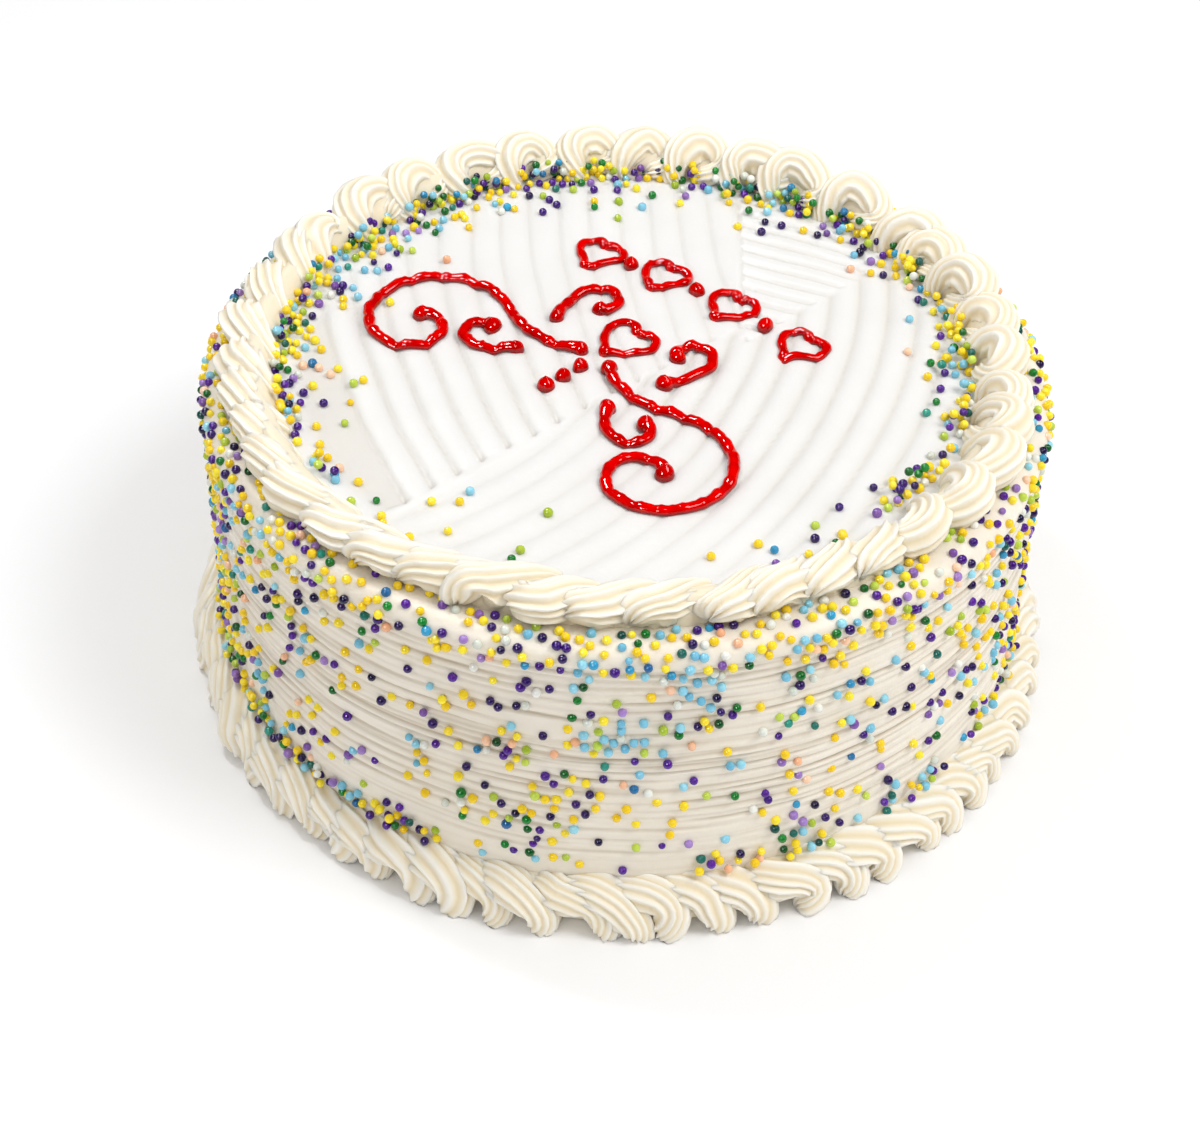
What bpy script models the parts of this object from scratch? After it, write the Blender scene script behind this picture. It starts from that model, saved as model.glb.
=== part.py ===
"""Round birthday cake in white buttercream, with a rope of piped shells round its top and its foot and a red
piped ornament of scrolls and hearts on its top.

Metres, +Z up. The origin is the centre of the base, which stands on z = 0. +X is the cake's right and +Y its
back.
"""

import math

import bpy

# ---- driving dimensions --------------------

MM = 0.001
GAP = 0.3 * MM                     # between pieces that touch

# body: an 8 inch round under about 11 mm of buttercream
BODY_RADIUS = 113.0 * MM           # at the lip under the top edge
BODY_FOOT_RADIUS = 114.0 * MM
BODY_HEIGHT = 92.0 * MM
EDGE_ROUND = 5.0 * MM              # rounding of the top edge
LIP_PROUD = 0.8 * MM               # the smooth lip stands this far out of the combed wall
BODY_STEPS = 56

# border of shells on the top
TOP_SHELLS = 40
TOP_INNER_RADIUS = 85.5 * MM
TOP_OUTER_RADIUS = 108.7 * MM
TOP_CREST = 14.3 * MM
TOP_CREST_LEAN = 0.52              # how far the crest bulges anticlockwise, in shells
TOP_FOOT_SWEEP = 0.85              # how far the outer foot trails clockwise, in shells
PITCH_SWING = 0.13                 # shells are wider at the back than at the front by this part

# border of shells round the foot
FOOT_SHELLS = 64
FOOT_OUTER_RADIUS = 125.0 * MM
FOOT_HEIGHT = 17.0 * MM
FOOT_CREST_LEAN = 0.45
FOOT_FOOT_SWEEP = 0.75

# relief of one shell: it grows from a valley to a full rounded edge that lies on the next shell
VALLEY = 0.17
GROOVE = 0.07

# red line ornament
LINE_RADIUS = 1.6 * MM
LINE_STEP = 4.5 * MM               # length of one straight piece of a line
DOT_RADIUS = 2.3 * MM
ORNAMENT_CENTRE = (-6.0 * MM, 3.0 * MM)
ORNAMENT_TURN = math.radians(-44)
HEART_SIZE = 13.0 * MM
HEART_POINTS = 12
HEART_SPREAD = 0.3                 # draws a heart's points apart at its notch and its tip
HEART_ROW = ((-9.0 * MM, 50.0 * MM), (47.0 * MM, 9.0 * MM))
HEART_ROW_SAG = 4.0 * MM
HEART_ROW_TURN = (-28.0, -42.0)    # degrees, first and last heart
HEART_ROW_PLACES = 7               # hearts and dots by turns

# Half of the scroll, in millimetres from its centre and degrees. Each bend is a length and the turn per
# millimetre at its start and its end.
SCROLL_LINES = {
    "scroll_stem": ((4.5, -3.0), -40, ((24, 2.5, 2.5), (12, 0.6, -2.4), (52, -2.7, -3.3), (42, -3.3, -9.5))),
    "scroll_low_curl": ((17.0, -15.0), -62, ((10, 2.0, 4.0), (22, 6.0, 16.0))),
    "scroll_high_curl": ((20.0, 0.5), 66, ((14, 0.0, 3.0), (24, 7.0, 15.0))),
}
SCROLL_HEART = (0.0, 8.0 * MM)
SCROLL_HEART_SIZE = 15.0 * MM
SCROLL_DOTS = ((0.0, -9.0 * MM), (0.0, -15.5 * MM), (0.0, -21.5 * MM))


# ---- scene and materials --------------------

def clear_scene():
    for obj in list(bpy.data.objects):
        bpy.data.objects.remove(obj)


def make_collection(name):
    collection = bpy.data.collections.new(name)
    bpy.context.scene.collection.children.link(collection)
    return collection


def make_material(name, colour, roughness):
    material = bpy.data.materials.new(name)
    material.use_nodes = True
    shader = material.node_tree.nodes["Principled BSDF"]
    shader.inputs["Base Color"].default_value = (*colour, 1.0)
    shader.inputs["Roughness"].default_value = roughness
    shader.inputs["Metallic"].default_value = 0.0
    material.diffuse_color = (*colour, 1.0)
    return material


def finish_object(obj, material):
    """Puts an object in the cake's collection only, with its one material."""
    for collection in list(obj.users_collection):
        collection.objects.unlink(obj)
    cake.objects.link(obj)
    obj.data.materials.clear()
    obj.data.materials.append(material)
    return obj


# ---- cake body --------------------

def body_profile():
    """The outline from the middle of the top, over the lip and down the wall, to the middle of the base."""
    points = [(0.0, BODY_HEIGHT)]
    arc_steps = 4
    for step in range(arc_steps + 1):
        angle = math.pi / 2 * (1 - step / arc_steps)
        points.append((
            BODY_RADIUS - EDGE_ROUND + EDGE_ROUND * math.cos(angle),
            BODY_HEIGHT - EDGE_ROUND + EDGE_ROUND * math.sin(angle),
        ))
    points.append((BODY_RADIUS - LIP_PROUD, BODY_HEIGHT - 1.5 * EDGE_ROUND))
    points.append((BODY_FOOT_RADIUS, 0.0))
    points.append((0.0, 0.0))
    return points


def make_body(material):
    points = [(x, 0.0, z) for x, z in body_profile()]
    edges = [(i, i + 1) for i in range(len(points) - 1)]
    mesh = bpy.data.meshes.new("cake_body")
    mesh.from_pydata(points, edges, [])
    body = bpy.data.objects.new("cake_body", mesh)
    bpy.context.scene.collection.objects.link(body)
    turn = body.modifiers.new("Turned", "SCREW")
    turn.axis = "Z"
    turn.angle = 2 * math.pi
    turn.steps = BODY_STEPS
    turn.render_steps = BODY_STEPS
    turn.use_merge_vertices = True
    turn.merge_threshold = 0.01 * MM
    turn.use_smooth_shade = True
    return finish_object(body, material)


# ---- borders of piped shells --------------------

def shell_fullness(step, steps):
    """Size of a shell's section at one step along it: ridges on the odd steps, growing to its full edge."""
    along = step / steps
    groove = GROOVE if step % 2 == 0 else 0.0
    return 1.0 - VALLEY * (1.0 - along) ** 2 - groove


def top_section(turn, fullness):
    """Radius and height of the top border at a turn from 0, its outer foot, to pi, its inner foot."""
    middle = (TOP_OUTER_RADIUS + TOP_INNER_RADIUS) / 2
    half_width = (TOP_OUTER_RADIUS - TOP_INNER_RADIUS) / 2 * (0.5 + 0.5 * fullness)
    radius = middle + half_width * math.cos(turn)
    height = BODY_HEIGHT + GAP + TOP_CREST * fullness * max(math.sin(turn), 0.0) ** 0.8
    return radius, height


def foot_section(turn, fullness):
    """The same for the border round the foot, from its outer foot at 0 to the wall at pi / 2."""
    wall = BODY_FOOT_RADIUS + GAP
    radius = wall + (FOOT_OUTER_RADIUS - wall) * fullness * math.cos(turn) ** 0.8
    height = FOOT_HEIGHT * fullness * math.sin(turn)
    return radius, height


def ring_angle(shells_along, shells, swing):
    even = 2 * math.pi * shells_along / shells
    return even - swing * math.cos(even)


def make_shell_border(name, shells, steps, section, last_turn, lean, sweep, swing, corner, material):
    """A torus whose sections are moved to those of overlapping shells, flat underneath.

    A torus's points run section by section. A section runs from its outer foot over its crest to its last
    turn, and a corner, where there is one, closes it between the wall and the base.
    """
    dome_points = 7 if corner is None else 6
    section_points = dome_points + (0 if corner is None else 1)
    bpy.ops.mesh.primitive_torus_add(major_segments=shells * steps, minor_segments=section_points)
    border = bpy.context.object
    border.name = name
    border.data.name = name
    for index, vertex in enumerate(border.data.vertices):
        along, around = divmod(index, section_points)
        if around < dome_points:
            turn = last_turn * around / (dome_points - 1)
            radius, height = section(turn, shell_fullness(along % steps, steps))
            bulge = lean * math.sin(turn) - sweep * (1 + math.cos(turn)) / 2
        else:
            radius, height = corner
            bulge = lean
        angle = ring_angle(along / steps + bulge, shells, swing)
        vertex.co = (radius * math.cos(angle), radius * math.sin(angle), height)
    border.data.shade_smooth()
    return finish_object(border, material)


# ---- red line ornament --------------------

def bend_path(start, heading, bends):
    """Points along a line that starts at a place and heading and turns at a rate that changes evenly."""
    x, y = start[0] * MM, start[1] * MM
    angle = math.radians(heading)
    points = [(x, y)]
    fine = 8
    for length, first_rate, last_rate in bends:
        steps = max(1, round(length * MM / LINE_STEP))
        piece = length / steps / fine
        for step in range(steps * fine):
            rate = first_rate + (last_rate - first_rate) * (step + 0.5) / (steps * fine)
            angle += math.radians(rate * piece) / 2
            x += math.cos(angle) * piece * MM
            y += math.sin(angle) * piece * MM
            angle += math.radians(rate * piece) / 2
            if (step + 1) % fine == 0:
                points.append((x, y))
    return points


def heart_path(centre, size, turn, count):
    """The closed outline of a heart, its point down before it is turned."""
    points = []
    for step in range(count):
        t = 2 * math.pi * step / count
        t += HEART_SPREAD * math.sin(2 * t)
        across = size / 32 * 16 * math.sin(t) ** 3
        up = size / 32 * (13 * math.cos(t) - 5 * math.cos(2 * t) - 2 * math.cos(3 * t) - math.cos(4 * t))
        points.append((
            centre[0] + across * math.cos(turn) - up * math.sin(turn),
            centre[1] + across * math.sin(turn) + up * math.cos(turn),
        ))
    return points


def on_diagonal(point):
    """From the scroll's own axes to the cake's."""
    u, v = point
    cosine, sine = math.cos(ORNAMENT_TURN), math.sin(ORNAMENT_TURN)
    return (ORNAMENT_CENTRE[0] + u * cosine - v * sine, ORNAMENT_CENTRE[1] + u * sine + v * cosine)


def make_line(name, path, closed, material):
    """A round red line that lies on the top."""
    curve = bpy.data.curves.new(name, "CURVE")
    curve.dimensions = "3D"
    curve.bevel_depth = LINE_RADIUS
    curve.bevel_resolution = 1
    curve.use_fill_caps = True
    spline = curve.splines.new("POLY")
    spline.points.add(len(path) - 1)
    for point, (x, y) in zip(spline.points, path):
        point.co = (x, y, BODY_HEIGHT + GAP + LINE_RADIUS, 1.0)
    spline.use_cyclic_u = closed
    line = bpy.data.objects.new(name, curve)
    bpy.context.scene.collection.objects.link(line)
    return finish_object(line, material)


def make_dot(name, place, material):
    bpy.ops.mesh.primitive_uv_sphere_add(segments=8, ring_count=4, radius=DOT_RADIUS)
    dot = bpy.context.object
    dot.name = name
    dot.data.name = name
    dot.location = (place[0], place[1], BODY_HEIGHT + GAP + DOT_RADIUS)
    dot.data.shade_smooth()
    return finish_object(dot, material)


def make_scroll(material):
    for side, sign in (("right", 1), ("left", -1)):
        for name, (start, heading, bends) in SCROLL_LINES.items():
            path = [on_diagonal((sign * u, v)) for u, v in bend_path(start, heading, bends)]
            make_line(f"{name}_{side}", path, False, material)
    heart = [on_diagonal(point) for point in heart_path(SCROLL_HEART, SCROLL_HEART_SIZE, 0.0, HEART_POINTS)]
    make_line("scroll_heart", heart, True, material)
    for number, place in enumerate(SCROLL_DOTS, 1):
        make_dot(f"scroll_dot_{number}", on_diagonal(place), material)


def make_heart_row(material):
    (x0, y0), (x1, y1) = HEART_ROW
    for place in range(HEART_ROW_PLACES):
        along = place / (HEART_ROW_PLACES - 1)
        centre = (x0 + (x1 - x0) * along, y0 + (y1 - y0) * along + HEART_ROW_SAG * math.sin(math.pi * along))
        turn = math.radians(HEART_ROW_TURN[0] + (HEART_ROW_TURN[1] - HEART_ROW_TURN[0]) * along)
        if place % 2 == 0:
            path = heart_path(centre, HEART_SIZE, turn, HEART_POINTS)
            make_line(f"heart_{place // 2 + 1}", path, True, material)
        else:
            make_dot(f"heart_row_dot_{place // 2 + 1}", centre, material)


# ---- the cake --------------------

clear_scene()
cake = make_collection("birthday_cake")
buttercream = make_material("buttercream", (0.86, 0.84, 0.79), 0.55)
piped_buttercream = make_material("piped_buttercream", (0.87, 0.84, 0.75), 0.50)
red_gel = make_material("red_piping_gel", (0.62, 0.01, 0.01), 0.18)

make_body(buttercream)
make_shell_border(
    "top_border", TOP_SHELLS, 6, top_section, math.pi,
    TOP_CREST_LEAN, TOP_FOOT_SWEEP, PITCH_SWING, None, piped_buttercream,
)
make_shell_border(
    "foot_border", FOOT_SHELLS, 4, foot_section, math.pi / 2,
    FOOT_CREST_LEAN, FOOT_FOOT_SWEEP, 0.0, (BODY_FOOT_RADIUS + GAP, 0.0), piped_buttercream,
)
make_scroll(red_gel)
make_heart_row(red_gel)
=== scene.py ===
"""Looks of a round birthday cake: combed white buttercream, borders of piped shells, sugar pearls and a red
piped ornament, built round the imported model.

Metres, +Z up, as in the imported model. Sizes named with _MM are in millimetres.
"""

import math

import bmesh
import bpy
import numpy as np
from mathutils import Matrix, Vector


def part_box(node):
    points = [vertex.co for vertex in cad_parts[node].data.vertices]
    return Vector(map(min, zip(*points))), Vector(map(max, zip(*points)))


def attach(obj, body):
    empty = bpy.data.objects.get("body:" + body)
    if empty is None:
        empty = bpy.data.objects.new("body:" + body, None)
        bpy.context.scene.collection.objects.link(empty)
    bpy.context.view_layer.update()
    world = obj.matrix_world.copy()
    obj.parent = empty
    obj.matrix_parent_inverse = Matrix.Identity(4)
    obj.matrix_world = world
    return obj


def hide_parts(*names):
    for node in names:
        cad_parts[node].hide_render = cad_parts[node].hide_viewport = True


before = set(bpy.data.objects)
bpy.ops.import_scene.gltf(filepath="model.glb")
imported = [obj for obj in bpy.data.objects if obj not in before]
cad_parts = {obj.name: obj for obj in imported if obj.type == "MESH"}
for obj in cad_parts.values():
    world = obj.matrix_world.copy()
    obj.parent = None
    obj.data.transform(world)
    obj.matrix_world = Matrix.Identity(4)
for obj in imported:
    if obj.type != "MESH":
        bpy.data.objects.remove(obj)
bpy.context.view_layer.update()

# ---- sizes, from the frame --------------------

MM = 0.001
WALL_TAPER_MM = 1.0
BODY_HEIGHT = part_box("cake_body")[1].z / MM     # these three are in millimetres
BODY_FOOT_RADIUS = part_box("cake_body")[1].x / MM
WALL_RADIUS = BODY_FOOT_RADIUS - WALL_TAPER_MM  # at the lip
SEED = 20

# ---- helpers: noise, grids and pieces --------------------


def waves(points, shortest, longest, seed, count=14):
    """Smooth noise, mostly between -1 and 1: sines in random directions with lengths between two sizes."""
    draw = np.random.default_rng(seed)
    directions = draw.normal(size=(count, 3))
    directions /= np.linalg.norm(directions, axis=1, keepdims=True)
    lengths = np.exp(draw.uniform(math.log(shortest), math.log(longest), count))
    phases = draw.uniform(0, 2 * math.pi, count)
    turns = 2 * math.pi * directions / lengths[:, None]
    return np.sin(points @ turns.T + phases).sum(axis=1) / math.sqrt(2 * count)


def smooth(x):
    """Rises smoothly from 0 at 0 to 1 at 1."""
    x = np.clip(x, 0.0, 1.0)
    return x * x * (3 - 2 * x)


def hump(x, middle, width):
    return np.exp(-(((x - middle) / width) ** 2))


def polar(radius, angle, height):
    """Points from a radius, an angle and a height that have the same shape."""
    return np.stack([radius * np.cos(angle), radius * np.sin(angle), height + 0 * angle], axis=-1)


def grid_faces(rows, columns, wrap_columns=True, start=0):
    """Four-cornered faces between neighbouring points of a grid that is held row by row."""
    across = columns if wrap_columns else columns - 1
    row, column = np.meshgrid(np.arange(rows - 1), np.arange(across), indexing="ij")
    beside = (column + 1) % columns
    corners = [row * columns + column, row * columns + beside, (row + 1) * columns + beside,
               (row + 1) * columns + column]
    return start + np.stack([corner.ravel() for corner in corners], axis=1)


def make_piece(name, points, faces, material, replaced, hollow=None):
    """A smooth mesh piece, its points in millimetres, that rides on the cake.

    hollow is a number from 0 to 1 for each point, which the materials read: the creams and the red gel paint
    shade by it, and the pearls take it as their random tone.
    """
    mesh = bpy.data.meshes.new(name)
    mesh.from_pydata((points * MM).tolist(), [], faces)
    mesh.validate()
    if hollow is not None:
        attribute = mesh.attributes.new("hollow", "FLOAT", "POINT")
        attribute.data.foreach_set("value", np.asarray(hollow, np.float32))
    mesh.shade_smooth()
    mesh.materials.append(material)
    piece = bpy.data.objects.new(name, mesh)
    bpy.context.scene.collection.objects.link(piece)
    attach(piece, "root")
    if replaced:
        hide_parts(*replaced)


# ---- materials --------------------

def new_material(name, colour, roughness):
    material = bpy.data.materials.new(name)
    material.use_nodes = True
    shader = material.node_tree.nodes["Principled BSDF"]
    shader.inputs["Base Color"].default_value = (*colour, 1)
    shader.inputs["Roughness"].default_value = roughness
    return material, material.node_tree, shader


def add_node(tree, kind, **settings):
    node = tree.nodes.new(kind)
    for key, value in settings.items():
        if hasattr(node, key):
            setattr(node, key, value)
        else:
            node.inputs[key].default_value = value
    return node


def add_noise(tree, scale, detail, roughness=0.55):
    place = add_node(tree, "ShaderNodeTexCoord")
    noise = add_node(tree, "ShaderNodeTexNoise", Scale=scale, Detail=detail, Roughness=roughness)
    tree.links.new(place.outputs["Object"], noise.inputs["Vector"])
    return noise.outputs["Fac"]


def add_range(tree, value, low, high, to_low, to_high):
    node = add_node(tree, "ShaderNodeMapRange")
    tree.links.new(value, node.inputs["Value"])
    for key, number in zip(("From Min", "From Max", "To Min", "To Max"), (low, high, to_low, to_high)):
        node.inputs[key].default_value = number
    return node.outputs["Result"]


def add_mix(tree, factor, first, second):
    node = add_node(tree, "ShaderNodeMix", data_type="RGBA")
    for key, kind, value in (("Factor", "VALUE", factor), ("A", "RGBA", first), ("B", "RGBA", second)):
        socket = [s for s in node.inputs if s.name == key and s.type == kind][0]
        if isinstance(value, tuple):
            socket.default_value = (*value, 1)
        else:
            tree.links.new(value, socket)
    return [s for s in node.outputs if s.type == "RGBA"][0]


def buttercream(name, colour, patch_and_shade_colour, painted_shade_power, sheen_scale):
    """Soft cream with fine grain, uneven gloss and warmer random patches, and painted warm shade in its
    hollows.

    A higher shade power keeps the painted shade to the deepest hollows.
    """
    material, tree, shader = new_material(name, colour, 0.42)
    hollow = add_node(tree, "ShaderNodeAttribute", attribute_name="hollow").outputs["Fac"]
    power = add_node(tree, "ShaderNodeMath", operation="POWER", use_clamp=True)
    tree.links.new(hollow, power.inputs[0])
    power.inputs[1].default_value = painted_shade_power
    patches = add_noise(tree, 45.0, 3.0)
    warm = add_mix(tree, add_range(tree, patches, 0.35, 0.7, 0.0, 0.12), colour, patch_and_shade_colour)
    # painted shade: where the attribute "hollow" is high, in valleys, grooves and creases, the cream takes
    # the darker, warmer second colour
    painted_shade_tint = add_mix(tree, power.outputs["Value"], warm, patch_and_shade_colour)
    tree.links.new(painted_shade_tint, shader.inputs["Base Color"])
    gloss = add_range(tree, add_noise(tree, sheen_scale, 4.0), 0.3, 0.7, 0.36, 0.52)
    tree.links.new(gloss, shader.inputs["Roughness"])
    shader.inputs["Specular IOR Level"].default_value = 0.35
    shader.inputs["Subsurface Weight"].default_value = 0.4
    shader.inputs["Subsurface Radius"].default_value = (1.0, 0.95, 0.85)
    shader.inputs["Subsurface Scale"].default_value = 0.0009
    shader.inputs["IOR"].default_value = 1.42
    bump = add_node(tree, "ShaderNodeBump", Strength=0.22, Distance=0.0004)
    tree.links.new(add_noise(tree, 900.0, 4.0, 0.6), bump.inputs["Height"])
    tree.links.new(bump.outputs["Normal"], shader.inputs["Normal"])
    return material


def pearl_coating(name, dark, light):
    """A glossy sugar coating, a little mottled. The attribute "hollow" says how dark each pearl is."""
    material, tree, shader = new_material(name, light, 0.14)
    tone = add_node(tree, "ShaderNodeAttribute", attribute_name="hollow").outputs["Fac"]
    shade = add_mix(tree, tone, light, dark)
    mottle = add_range(tree, add_noise(tree, 420.0, 2.0), 0.4, 0.65, 0.0, 0.3)
    tree.links.new(add_mix(tree, mottle, shade, dark), shader.inputs["Base Color"])
    shader.inputs["Specular IOR Level"].default_value = 0.5
    return material


def red_gel():
    """Glossy red piping gel, deeper red in random patches, with painted shade, also deeper red, low on its
    sides by its attribute "hollow".
    """
    light_red, patch_and_shade_red = (0.74, 0.0, 0.0), (0.27, 0.0, 0.0)
    material, tree, shader = new_material("red_piping_gel", light_red, 0.06)
    patches = add_range(tree, add_noise(tree, 260.0, 3.0), 0.35, 0.7, 0.0, 0.6)
    low = add_node(tree, "ShaderNodeAttribute", attribute_name="hollow").outputs["Fac"]
    # painted shade: the gel's low sides add to the random patches, towards the deeper red
    deep = add_node(tree, "ShaderNodeMath", operation="ADD", use_clamp=True)
    tree.links.new(patches, deep.inputs[0])
    tree.links.new(low, deep.inputs[1])
    mix = add_mix(tree, deep.outputs["Value"], light_red, patch_and_shade_red)
    tree.links.new(mix, shader.inputs["Base Color"])
    shader.inputs["Specular IOR Level"].default_value = 0.4
    bump = add_node(tree, "ShaderNodeBump", Strength=0.12, Distance=0.0004)
    tree.links.new(add_noise(tree, 500.0, 2.0), bump.inputs["Height"])
    tree.links.new(bump.outputs["Normal"], shader.inputs["Normal"])
    return material


# ---- cake body: the combed wall and the smooth lip --------------------

WALL_COLUMNS = 350
WALL_STEP_MM = 0.58
LIP_FOOT_MM = 86.5                              # the comb's last stroke ends here
LIP_PROUD_MM = 0.7
EDGE_ROUND_MM = 5.0
HIDDEN_TOP_MM = 2.4                             # the body's top lies this far down, under the combed plate
COMB_LOW_MM = 17.0


def wall_radius(height):
    """The wall without its comb lines."""
    cone = BODY_FOOT_RADIUS - (WALL_TAPER_MM + LIP_PROUD_MM) * height / LIP_FOOT_MM
    lip = LIP_PROUD_MM * smooth((height - LIP_FOOT_MM + 0.6) / 1.2)
    return cone + lip


def comb_lines(angle, height):
    """How deep the comb's lines are at points of the wall, in millimetres; burrs beside them are below 0."""
    draw = np.random.default_rng(SEED)
    depth = np.zeros(np.broadcast(angle, height).shape)
    line = COMB_LOW_MM
    while line < LIP_FOOT_MM - 1.0:
        swell = draw.uniform(0.3, 1.0)
        wander = sum(draw.uniform(0.1, 0.6) / turns * np.sin(turns * angle + draw.uniform(0, 6.3))
                     for turns in (1, 2, 3, 5, 8))
        fade = 0.6 + 0.4 * sum(np.sin(turns * angle + draw.uniform(0, 6.3)) for turns in (2, 5, 9, 16)) / 2.2
        width = draw.uniform(0.36, 0.7)
        across = (height - line - wander) / width
        low = smooth((line - COMB_LOW_MM) / 12) * 0.6 + 0.4
        size = 0.85 * swell * low * np.clip(fade, 0.0, 1.2)
        depth += size * (np.exp(-across ** 2) - 0.5 * np.exp(-((across + 1.7) / 0.9) ** 2))
        line += draw.choice([1.0, 1.4, 1.9, 2.5, 3.2])
    return depth


def make_body(material):
    angles = np.linspace(0, 2 * math.pi, WALL_COLUMNS, endpoint=False)
    heights = np.arange(0, BODY_HEIGHT - EDGE_ROUND_MM + 0.01, WALL_STEP_MM)
    turns = np.linspace(0, math.pi / 2, 9)[1:]
    edge_radius = WALL_RADIUS - EDGE_ROUND_MM + EDGE_ROUND_MM * np.cos(turns)
    edge_height = BODY_HEIGHT - EDGE_ROUND_MM + EDGE_ROUND_MM * np.sin(turns)
    radii = np.concatenate([wall_radius(heights), edge_radius, [99.0, 98.5]])
    rows_z = np.concatenate([heights, edge_height, [BODY_HEIGHT, BODY_HEIGHT - HIDDEN_TOP_MM]])
    radius, angle = np.meshgrid(radii, angles, indexing="ij")
    height = np.repeat(rows_z[:, None], WALL_COLUMNS, axis=1)
    on_wall = (np.arange(len(rows_z)) < len(heights))[:, None]
    lines = np.where(on_wall, comb_lines(angle, height), 0.0)
    points = polar(radius, angle, height).reshape(-1, 3)
    uneven = 0.35 * waves(points, 18, 60, SEED + 1) + 0.06 * waves(points * (1, 1, 3), 3, 9, SEED + 2)
    uneven *= np.repeat(smooth(rows_z / 6) * smooth((BODY_HEIGHT + 4 - rows_z) / 8), WALL_COLUMNS)
    points = polar(radius - lines + uneven.reshape(radius.shape), angle, height).reshape(-1, 3)
    faces = grid_faces(len(rows_z), WALL_COLUMNS).tolist()
    faces.append(list(range(WALL_COLUMNS))[::-1])
    faces.append([(len(rows_z) - 1) * WALL_COLUMNS + column for column in range(WALL_COLUMNS)])
    # painted shade: the comb lines' depth darkens and warms the wall's cream in its grooves
    hollow = np.clip(lines * 1.5, 0, 1).ravel()
    make_piece("cake_wall", points, faces, material, ["cake_body"], hollow)


# ---- combed top --------------------

TOP_RADIUS_MM = 98.0
TOP_GRID = 252
PLATE_MM = 2.0
DIAGONAL_SLOPE, DIAGONAL_START = 0.93, -12.0    # the left comb strokes end along this line
RIGHT_STROKE_X = 31.5                           # and at this x, further back
LEFT_PITCH_MM = 8.8


def left_strokes(x, y, to_end):
    """Round ridges with sharp valleys, from the back to the front left, which bend to the right."""
    across = x - (y - 85) ** 2 / 550
    across = across + 0.4 * np.sin(y / 17 + 0.13 * x) + 0.15 * np.sin(y / 6.1)
    draw = np.random.default_rng(SEED + 3)
    edges = -92.0 + LEFT_PITCH_MM * np.arange(16) + draw.uniform(-0.6, 0.6, 16)
    number = np.clip(np.searchsorted(edges, across) - 1, 0, len(edges) - 2)
    part = (across - edges[number]) / (edges[number + 1] - edges[number])
    valley = np.minimum(np.abs(part), np.abs(1 - part)) * LEFT_PITCH_MM
    deep = 0.55 + 0.5 * smooth((25 - y - 0.4 * x) / 60)
    cut = 0.22 + 0.5 * hump(to_end, 2.2, 1.6)
    return -deep * (1 - np.clip(4 * part * (1 - part), 0, 1)) - cut * np.exp(-(valley / 0.6) ** 2)


def front_strokes(x, y):
    """Shallow arcs over the front and the right."""
    away = np.hypot(x + 130, y - 49) + 0.5 * np.sin(x / 23 + y / 31)
    part = (away - 139) / 8.0 % 1.0
    ridge = 4 * part * (1 - part)
    return -1.2 * (1 - ridge ** 0.7) * (0.5 + 0.5 * smooth((x + y + 60) / 70)) - 0.1


def side_strokes(x, y):
    """Short strokes with narrow grooves to the right of the left strokes' upper end."""
    across = y + 0.40 * (x - RIGHT_STROKE_X) + 0.001 * (x - RIGHT_STROKE_X) ** 2 + 0.25 * np.sin(x / 5)
    away = np.abs((across - 66) / 6.3 % 1.0 - 0.5) * 6.3
    return -0.95 * (1 - smooth((away - 0.2) / 1.6)) - 0.05


def top_relief(x, y):
    """Height of the combed top over the body's height, and how hollow it is there, in millimetres."""
    wiggle = 0.5 * np.sin(x / 4.3) + 0.35 * np.sin(x / 2.1 + 1.3)
    over_diagonal = y - (DIAGONAL_SLOPE * x + DIAGONAL_START) + wiggle
    left = smooth(over_diagonal / 1.6) * smooth((RIGHT_STROKE_X - x + 0.3 * wiggle) / 1.2)
    side = smooth((x - RIGHT_STROKE_X) / 1.0) * smooth((y - x + 22.5 + wiggle) / 2.0)
    side = side * (1 - smooth((x - 62 + 4 * np.sin(y / 5)) / 8))
    front = (1 - left) * (1 - side)
    step = 0.3 * smooth((-over_diagonal - 3.0) / 1.2) * smooth((40 - x) / 20)
    relief = left * left_strokes(x, y, over_diagonal) + side * side_strokes(x, y)
    relief = relief + front * front_strokes(x, y)
    points = np.stack([x, y, 0 * x], axis=-1).reshape(-1, 3)
    soft = 0.16 * waves(points, 14, 50, SEED + 4) + 0.03 * waves(points, 2.5, 7, SEED + 5)
    rim = smooth((np.hypot(x, y) - 84) / 8)
    return (relief - step) * (1 - rim) + soft.reshape(x.shape), -relief * (1 - rim)


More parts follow.
